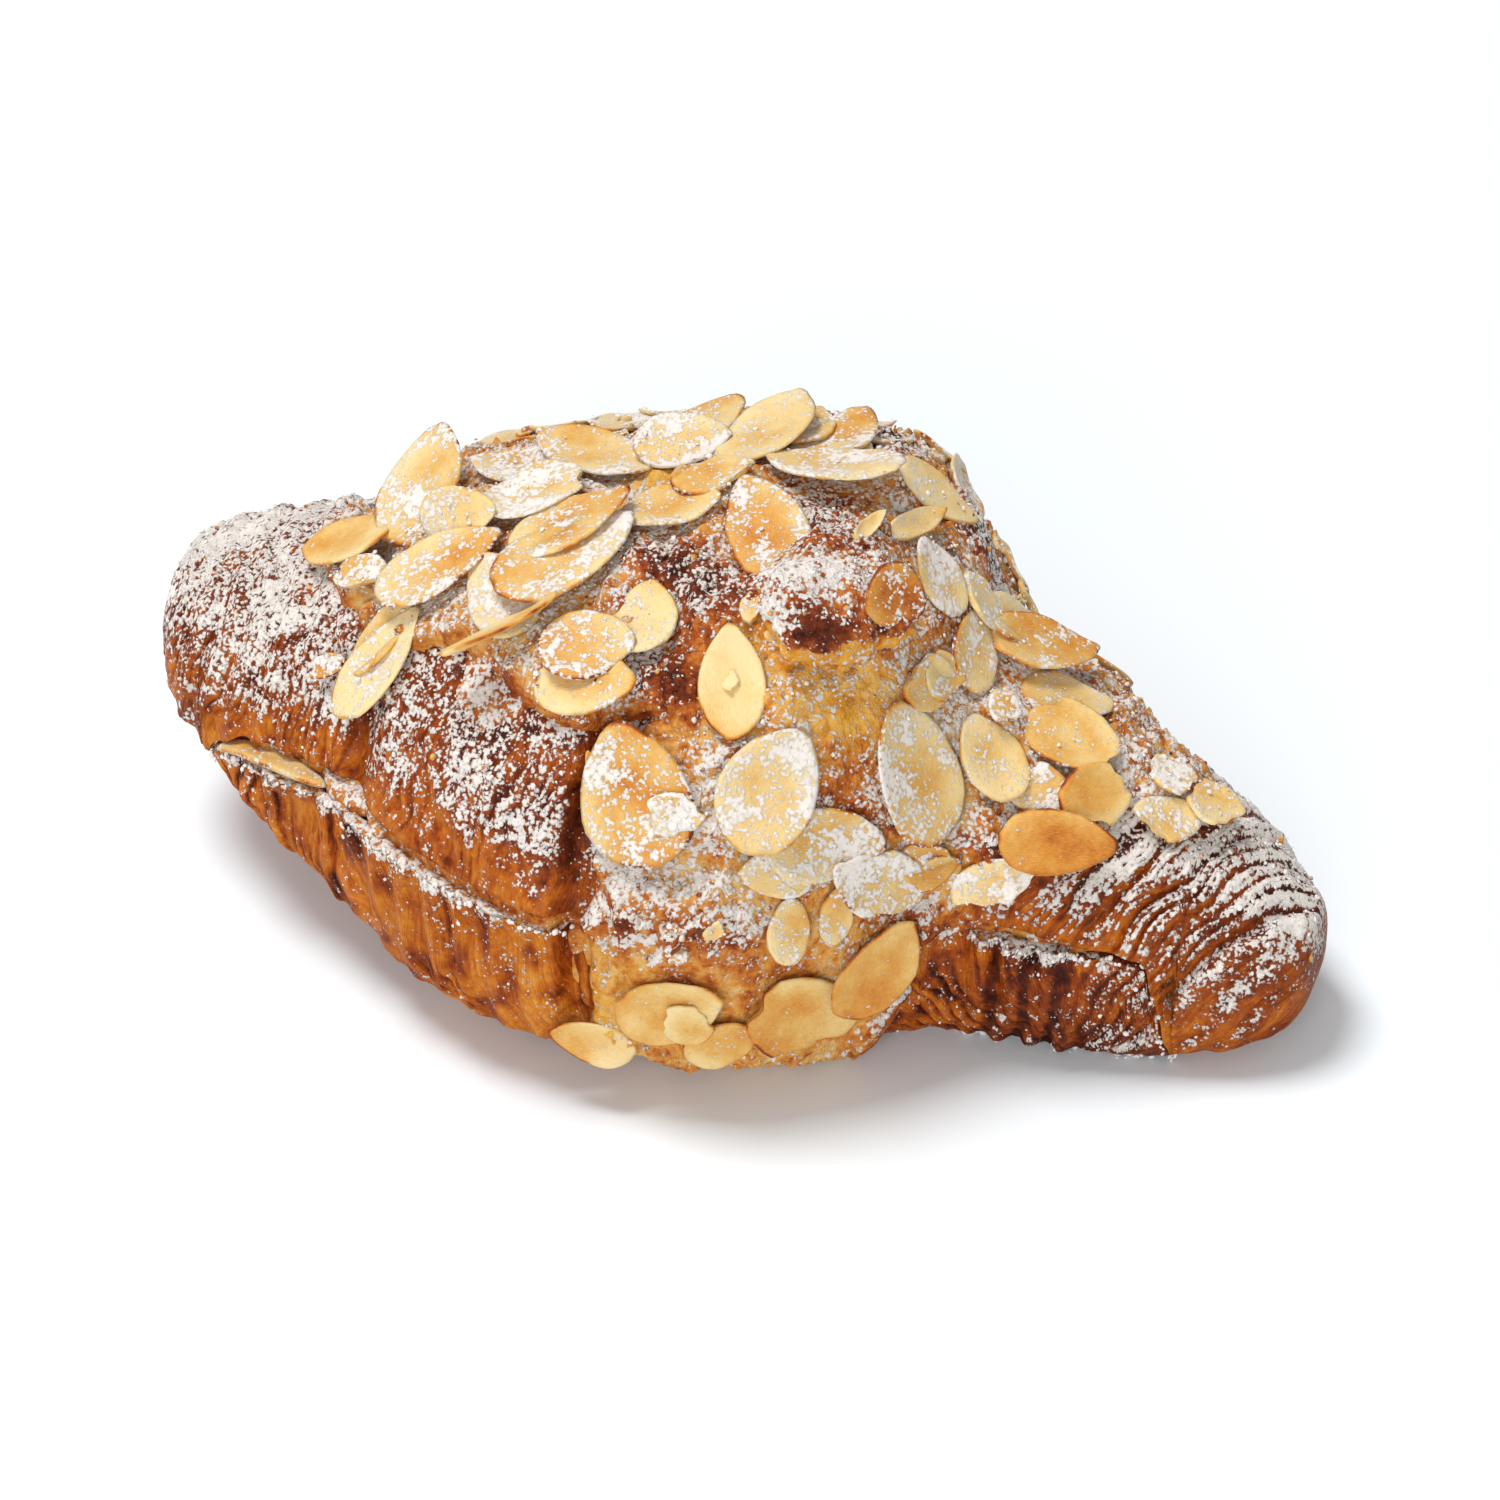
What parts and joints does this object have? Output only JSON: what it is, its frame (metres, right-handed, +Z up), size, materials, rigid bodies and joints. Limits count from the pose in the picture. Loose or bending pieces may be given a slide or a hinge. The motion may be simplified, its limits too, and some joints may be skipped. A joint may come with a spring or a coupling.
{
  "type": "almond croissant",
  "caption": "Almond croissant, sliced and filled with almond cream, its crest and front covered in browned cream, flaked almonds and icing sugar",
  "frame": {"origin": "on the surface it stands on, under the middle of the whole croissant", "axes": "+X runs from the left tip to the right tip, +Y to the back, +Z up"},
  "size_m": [0.1694, 0.0988, 0.073],
  "materials": {
    "base_crust": "baked golden brown, flaky",
    "almond_cream": "baked almond cream, grainy",
    "baked_crust": "baked red brown, ridged, dusted with icing sugar",
    "flaked_almond": "toasted almond with icing sugar"
  },
  "bodies": {
    "root": {"pastry_base": "base_crust", "almond_filling": "almond_cream", "pastry_top": "baked_crust", "almond_topping": "flaked_almond"}
  },
  "joints": []
}
